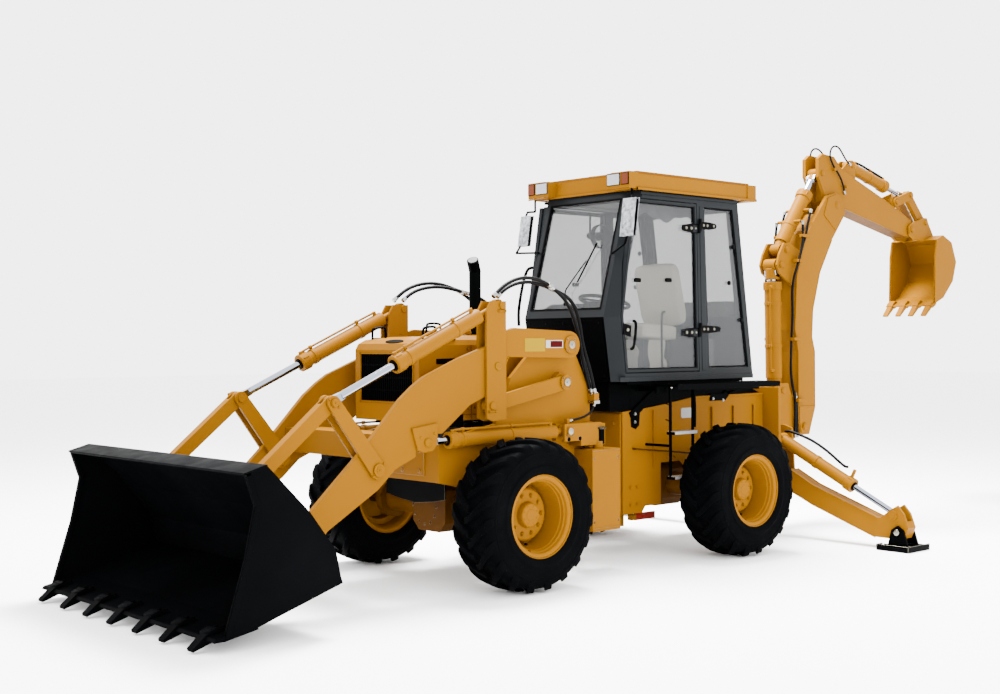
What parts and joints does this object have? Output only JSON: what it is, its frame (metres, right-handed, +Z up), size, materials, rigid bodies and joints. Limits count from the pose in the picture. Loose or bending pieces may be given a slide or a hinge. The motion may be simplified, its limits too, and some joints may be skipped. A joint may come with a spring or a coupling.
{
  "type": "articulated backhoe loader",
  "caption": "Wheeled machine hinged at its middle, with a front loading bucket on lift arms, a glazed cab, and a rear digging arm between two swing-down stabilisers.",
  "frame": {"origin": "on the ground at the middle of the machine length, on its centre plane", "axes": "+X forward towards the loader bucket, +Y to the machine left, +Z up"},
  "size_m": [9.539, 3.6, 3.6563],
  "materials": {
    "yellow_paint": "construction yellow enamel, semi-gloss",
    "black_paint": "black enamel, semi-gloss",
    "cab_paint": "dark blue-grey enamel",
    "bucket_paint": "black paint over rough plate",
    "chrome_rod": "hard chrome",
    "steel_pin": "zinc plated, satin",
    "tyre_rubber": "matt black rubber",
    "cab_glass": "clear, faint grey tint",
    "engine_iron": "dark painted casting",
    "seat_fabric": "pale grey-beige cover",
    "black_plastic": "moulded, fine grain",
    "hose_rubber": "matt hydraulic hose"
  },
  "bodies": {
    "rear_chassis": {"rear_frame": "yellow_paint", "rear_axle": "yellow_paint", "cab_frame": "cab_paint", "cab_roof": "yellow_paint", "cab_glass": "cab_glass", "platforms_and_fittings": "black_paint", "seat": "seat_fabric"},
    "front_chassis": {"front_frame": "yellow_paint", "front_axle": "yellow_paint", "engine": "engine_iron", "hood": "yellow_paint", "loader_hoses_lower": "hose_rubber"},
    "front_left_wheel": {"front_left_tyre": "tyre_rubber", "front_left_rim": "yellow_paint"},
    "front_right_wheel": {"front_right_tyre": "tyre_rubber", "front_right_rim": "yellow_paint"},
    "rear_left_wheel": {"rear_left_tyre": "tyre_rubber", "rear_left_rim": "yellow_paint"},
    "rear_right_wheel": {"rear_right_tyre": "tyre_rubber", "rear_right_rim": "yellow_paint"},
    "door_left_body": {"door_left": "cab_paint", "door_glass_left": "cab_glass"},
    "door_right_body": {"door_right": "cab_paint", "door_glass_right": "cab_glass"},
    "loader_arms_body": {"loader_arms": "yellow_paint"},
    "loader_levers_body": {"loader_levers": "yellow_paint", "loader_hoses_upper": "hose_rubber"},
    "levelling_links_body": {"levelling_links": "yellow_paint"},
    "tilt_barrels_body": {"tilt_barrels": "yellow_paint"},
    "tilt_rods_body": {"tilt_rods": "chrome_rod"},
    "bellcrank_pivot_pins_body": {"bellcrank_pivot_pins": "steel_pin"},
    "bellcranks_body": {"bellcranks": "yellow_paint"},
    "bellcrank_top_pins_body": {"bellcrank_top_pins": "steel_pin"},
    "bucket_links_body": {"bucket_links": "yellow_paint"},
    "bucket_hinge_pins_body": {"bucket_hinge_pins": "steel_pin"},
    "loader_bucket_body": {"loader_bucket": "bucket_paint"},
    "lift_barrels_body": {"lift_barrels": "yellow_paint"},
    "lift_rods_body": {"lift_rods": "chrome_rod"},
    "swing_frame_body": {"swing_frame": "yellow_paint"},
    "boom_body": {"boom": "yellow_paint", "boom_hoses": "hose_rubber"},
    "dipper_body": {"dipper": "yellow_paint", "dipper_hoses": "hose_rubber"},
    "backhoe_bucket_body": {"backhoe_bucket": "yellow_paint"},
    "guide_links_body": {"guide_links": "yellow_paint"},
    "tipping_links_body": {"tipping_links": "yellow_paint"},
    "boom_cylinder_barrel_body": {"boom_cylinder_barrel": "yellow_paint"},
    "boom_cylinder_rod_body": {"boom_cylinder_rod": "chrome_rod"},
    "dipper_cylinder_barrel_body": {"dipper_cylinder_barrel": "yellow_paint"},
    "dipper_cylinder_rod_body": {"dipper_cylinder_rod": "chrome_rod"},
    "bucket_cylinder_barrel_body": {"bucket_cylinder_barrel": "yellow_paint"},
    "bucket_cylinder_rod_body": {"bucket_cylinder_rod": "chrome_rod"},
    "stabiliser_leg_left_body": {"stabiliser_leg_left": "yellow_paint"},
    "stabiliser_pad_left_body": {"stabiliser_pad_left": "black_paint"},
    "stabiliser_barrel_left_body": {"stabiliser_barrel_left": "yellow_paint"},
    "stabiliser_rod_left_body": {"stabiliser_rod_left": "chrome_rod"},
    "stabiliser_leg_right_body": {"stabiliser_leg_right": "yellow_paint"},
    "stabiliser_pad_right_body": {"stabiliser_pad_right": "black_paint"},
    "stabiliser_barrel_right_body": {"stabiliser_barrel_right": "yellow_paint"},
    "stabiliser_rod_right_body": {"stabiliser_rod_right": "chrome_rod"}
  },
  "joints": [
    {"name": "articulation", "type": "hinge", "parent": "rear_chassis", "child": "front_chassis", "pos_m": [0.851, 0, 0.5375], "axis": [0, 0, 1], "range_deg": [-35, 35]},
    {"name": "front_left_spin", "type": "hinge", "parent": "front_chassis", "child": "front_left_wheel", "pos_m": [2.086, 0.876, 0.5375], "axis": [0, 1, 0], "continuous": true},
    {"name": "front_right_spin", "type": "hinge", "parent": "front_chassis", "child": "front_right_wheel", "pos_m": [2.086, -0.876, 0.5375], "axis": [0, 1, 0], "continuous": true},
    {"name": "rear_left_spin", "type": "hinge", "parent": "rear_chassis", "child": "rear_left_wheel", "pos_m": [-0.279, 0.876, 0.5375], "axis": [0, 1, 0], "continuous": true},
    {"name": "rear_right_spin", "type": "hinge", "parent": "rear_chassis", "child": "rear_right_wheel", "pos_m": [-0.279, -0.876, 0.5375], "axis": [0, 1, 0], "continuous": true},
    {"name": "door_left_swing", "type": "hinge", "parent": "rear_chassis", "child": "door_left_body", "pos_m": [-0.199, 0.556, 2], "axis": [0, 0, 1], "range_deg": [0, 95]},
    {"name": "door_right_swing", "type": "hinge", "parent": "rear_chassis", "child": "door_right_body", "pos_m": [-0.199, -0.556, 2], "axis": [0, 0, -1], "range_deg": [0, 95]},
    {"name": "loader_lift", "type": "hinge", "parent": "front_chassis", "child": "loader_arms_body", "pos_m": [1.351, 0, 1.72], "axis": [0, -1, 0], "range_deg": [0, 58]},
    {"name": "levelling_link_pivot", "type": "hinge", "parent": "front_chassis", "child": "levelling_links_body", "pos_m": [1.401, 0, 1.44], "axis": [0, -1, 0], "range_deg": [-0.5, 58.5]},
    {"name": "lever_pivot", "type": "hinge", "parent": "loader_arms_body", "child": "loader_levers_body", "pos_m": [2.101, 0, 1.57], "axis": [0, -1, 0], "range_deg": [-58.5, 0.5]},
    {"name": "bellcrank_pin_turn", "type": "hinge", "parent": "loader_arms_body", "child": "bellcrank_pivot_pins_body", "pos_m": [3.161, 0, 0.9], "axis": [0, -1, 0], "range_deg": [-58.5, 0.5]},
    {"name": "bucket_hinge_pin_turn", "type": "hinge", "parent": "loader_arms_body", "child": "bucket_hinge_pins_body", "pos_m": [3.751, 0, 0.42], "axis": [0, -1, 0], "range_deg": [-58.5, 0.5]},
    {"name": "bucket_tilt", "type": "hinge", "parent": "bucket_hinge_pins_body", "child": "loader_bucket_body", "pos_m": [3.751, 0, 0.42], "axis": [0, -1, 0], "range_deg": [-25, 50]},
    {"name": "bellcrank_pivot", "type": "hinge", "parent": "bellcrank_pivot_pins_body", "child": "bellcranks_body", "pos_m": [3.161, 0, 0.9], "axis": [0, -1, 0], "range_deg": [-25.5, 50.5]},
    {"name": "top_pin_turn", "type": "hinge", "parent": "bellcranks_body", "child": "bellcrank_top_pins_body", "pos_m": [3.511, 0, 1.355], "axis": [0, -1, 0], "range_deg": [-50.5, 25.5]},
    {"name": "bucket_link_pivot", "type": "hinge", "parent": "bellcrank_top_pins_body", "child": "bucket_links_body", "pos_m": [3.511, 0, 1.355], "axis": [0, -1, 0], "range_deg": [-0.5, 58.5]},
    {"name": "tilt_barrel_pivot", "type": "hinge", "parent": "loader_levers_body", "child": "tilt_barrels_body", "pos_m": [2.061, 0, 2.005], "axis": [0, -1, 0], "range_deg": [-0.5, 45]},
    {"name": "tilt_rod_slide", "type": "slide", "parent": "tilt_barrels_body", "child": "tilt_rods_body", "axis": [0.9125, 0, -0.4091], "range_m": [-0.4867, 0.2453]},
    {"name": "lift_barrel_pivot", "type": "hinge", "parent": "front_chassis", "child": "lift_barrels_body", "pos_m": [1.401, 0, 1.075], "axis": [0, -1, 0], "range_deg": [-0.5, 50.93]},
    {"name": "lift_rod_slide", "type": "slide", "parent": "lift_barrels_body", "child": "lift_rods_body", "axis": [0.9999, 0, -0.0112], "range_m": [-0.004, 0.5942]},
    {"name": "backhoe_swing", "type": "hinge", "parent": "rear_chassis", "child": "swing_frame_body", "pos_m": [-1.699, 0, 0.9], "axis": [0, 0, 1], "range_deg": [-80, 80]},
    {"name": "boom_pivot", "type": "hinge", "parent": "swing_frame_body", "child": "boom_body", "pos_m": [-2.229, 0, 0.93], "axis": [0, -1, 0], "range_deg": [0, 100]},
    {"name": "dipper_pivot", "type": "hinge", "parent": "boom_body", "child": "dipper_body", "pos_m": [-2.789, 0, 3.07], "axis": [0, -1, 0], "range_deg": [-25, 52]},
    {"name": "backhoe_bucket_pivot", "type": "hinge", "parent": "dipper_body", "child": "backhoe_bucket_body", "pos_m": [-4.149, 0, 2.9], "axis": [0, -1, 0], "range_deg": [-62, 30]},
    {"name": "guide_link_pivot", "type": "hinge", "parent": "dipper_body", "child": "guide_links_body", "pos_m": [-3.879, 0, 3.17], "axis": [0, -1, 0], "range_deg": [-62.5, 30.5]},
    {"name": "tipping_link_pivot", "type": "hinge", "parent": "guide_links_body", "child": "tipping_links_body", "pos_m": [-4.144, 0, 3.255], "axis": [0, -1, 0], "range_deg": [-30.5, 62.5]},
    {"name": "boom_cylinder_barrel_pivot", "type": "hinge", "parent": "swing_frame_body", "child": "boom_cylinder_barrel_body", "pos_m": [-1.944, 0, 1.275], "axis": [0, -1, 0], "range_deg": [-0.5, 101.02]},
    {"name": "boom_cylinder_rod_slide", "type": "slide", "parent": "boom_cylinder_barrel_body", "child": "boom_cylinder_rod_body", "axis": [0.0169, 0, 0.9999], "range_m": [-0.004, 0.6895]},
    {"name": "dipper_cylinder_barrel_pivot", "type": "hinge", "parent": "boom_body", "child": "dipper_cylinder_barrel_body", "pos_m": [-2.009, 0, 2.6], "axis": [0, -1, 0], "range_deg": [-5, 9.86]},
    {"name": "dipper_cylinder_rod_slide", "type": "slide", "parent": "dipper_cylinder_barrel_body", "child": "dipper_cylinder_rod_body", "axis": [-0.6114, 0, 0.7913], "range_m": [-0.1279, 0.2617]},
    {"name": "bucket_cylinder_barrel_pivot", "type": "hinge", "parent": "dipper_body", "child": "bucket_cylinder_barrel_body", "pos_m": [-3.159, 0, 3.495], "axis": [0, -1, 0], "range_deg": [-12.26, 6.19]},
    {"name": "bucket_cylinder_rod_slide", "type": "slide", "parent": "bucket_cylinder_barrel_body", "child": "bucket_cylinder_rod_body", "axis": [-0.9716, 0, -0.2367], "range_m": [-0.2184, 0.1077]},
    {"name": "stabiliser_left_raise", "type": "hinge", "parent": "rear_chassis", "child": "stabiliser_leg_left_body", "pos_m": [-1.479, 0.43, 0.52], "axis": [1, 0, 0], "range_deg": [0, 60]},
    {"name": "stabiliser_pad_left_tilt", "type": "hinge", "parent": "stabiliser_leg_left_body", "child": "stabiliser_pad_left_body", "pos_m": [-1.479, 1.655, 0.15], "axis": [1, 0, 0], "range_deg": [-20, 12]},
    {"name": "stabiliser_barrel_left_pivot", "type": "hinge", "parent": "rear_chassis", "child": "stabiliser_barrel_left_body", "pos_m": [-1.479, 0.43, 0.865], "axis": [1, 0, 0], "range_deg": [-0.5, 61.8]},
    {"name": "stabiliser_rod_left_slide", "type": "slide", "parent": "stabiliser_barrel_left_body", "child": "stabiliser_rod_left_body", "axis": [0, 0.896, -0.4441], "range_m": [-0.3481, 0.004]},
    {"name": "stabiliser_right_raise", "type": "hinge", "parent": "rear_chassis", "child": "stabiliser_leg_right_body", "pos_m": [-1.479, -0.43, 0.52], "axis": [-1, 0, 0], "range_deg": [0, 60]},
    {"name": "stabiliser_pad_right_tilt", "type": "hinge", "parent": "stabiliser_leg_right_body", "child": "stabiliser_pad_right_body", "pos_m": [-1.479, -1.655, 0.15], "axis": [-1, 0, 0], "range_deg": [-20, 12]},
    {"name": "stabiliser_barrel_right_pivot", "type": "hinge", "parent": "rear_chassis", "child": "stabiliser_barrel_right_body", "pos_m": [-1.479, -0.43, 0.865], "axis": [-1, 0, 0], "range_deg": [-0.5, 61.8]},
    {"name": "stabiliser_rod_right_slide", "type": "slide", "parent": "stabiliser_barrel_right_body", "child": "stabiliser_rod_right_body", "axis": [0, -0.896, -0.4441], "range_m": [-0.3481, 0.004]}
  ],
  "couplings": [
    {"joint": "levelling_link_pivot", "follows": "loader_lift", "ratio": 1},
    {"joint": "lever_pivot", "follows": "loader_lift", "ratio": -1},
    {"joint": "bellcrank_pin_turn", "follows": "loader_lift", "ratio": -1},
    {"joint": "bucket_hinge_pin_turn", "follows": "loader_lift", "ratio": -1},
    {"joint": "bellcrank_pivot", "follows": "bucket_tilt", "ratio": 1},
    {"joint": "top_pin_turn", "follows": "bucket_tilt", "ratio": -1},
    {"joint": "bucket_link_pivot", "follows": "loader_lift", "ratio": 1},
    {"joint": "tilt_barrel_pivot", "follows": "loader_lift", "ratio": 0.76725},
    {"joint": "tilt_rod_slide", "follows": "bucket_tilt", "m_per_rad": -0.55312},
    {"joint": "lift_barrel_pivot", "follows": "loader_lift", "ratio": 0.86943},
    {"joint": "lift_rod_slide", "follows": "loader_lift", "m_per_rad": 0.58305},
    {"joint": "guide_link_pivot", "follows": "backhoe_bucket_pivot", "ratio": 1},
    {"joint": "tipping_link_pivot", "follows": "backhoe_bucket_pivot", "ratio": -1},
    {"joint": "boom_cylinder_barrel_pivot", "follows": "boom_pivot", "ratio": 1.0052},
    {"joint": "boom_cylinder_rod_slide", "follows": "boom_pivot", "m_per_rad": 0.39274},
    {"joint": "dipper_cylinder_barrel_pivot", "follows": "dipper_pivot", "ratio": 0.17993},
    {"joint": "dipper_cylinder_rod_slide", "follows": "dipper_pivot", "m_per_rad": 0.28399},
    {"joint": "bucket_cylinder_barrel_pivot", "follows": "backhoe_bucket_pivot", "ratio": 0.18966},
    {"joint": "bucket_cylinder_rod_slide", "follows": "backhoe_bucket_pivot", "m_per_rad": 0.1981},
    {"joint": "stabiliser_barrel_left_pivot", "follows": "stabiliser_left_raise", "ratio": 1.0217},
    {"joint": "stabiliser_rod_left_slide", "follows": "stabiliser_left_raise", "m_per_rad": -0.32855},
    {"joint": "stabiliser_barrel_right_pivot", "follows": "stabiliser_right_raise", "ratio": 1.0217},
    {"joint": "stabiliser_rod_right_slide", "follows": "stabiliser_right_raise", "m_per_rad": -0.32855}
  ]
}
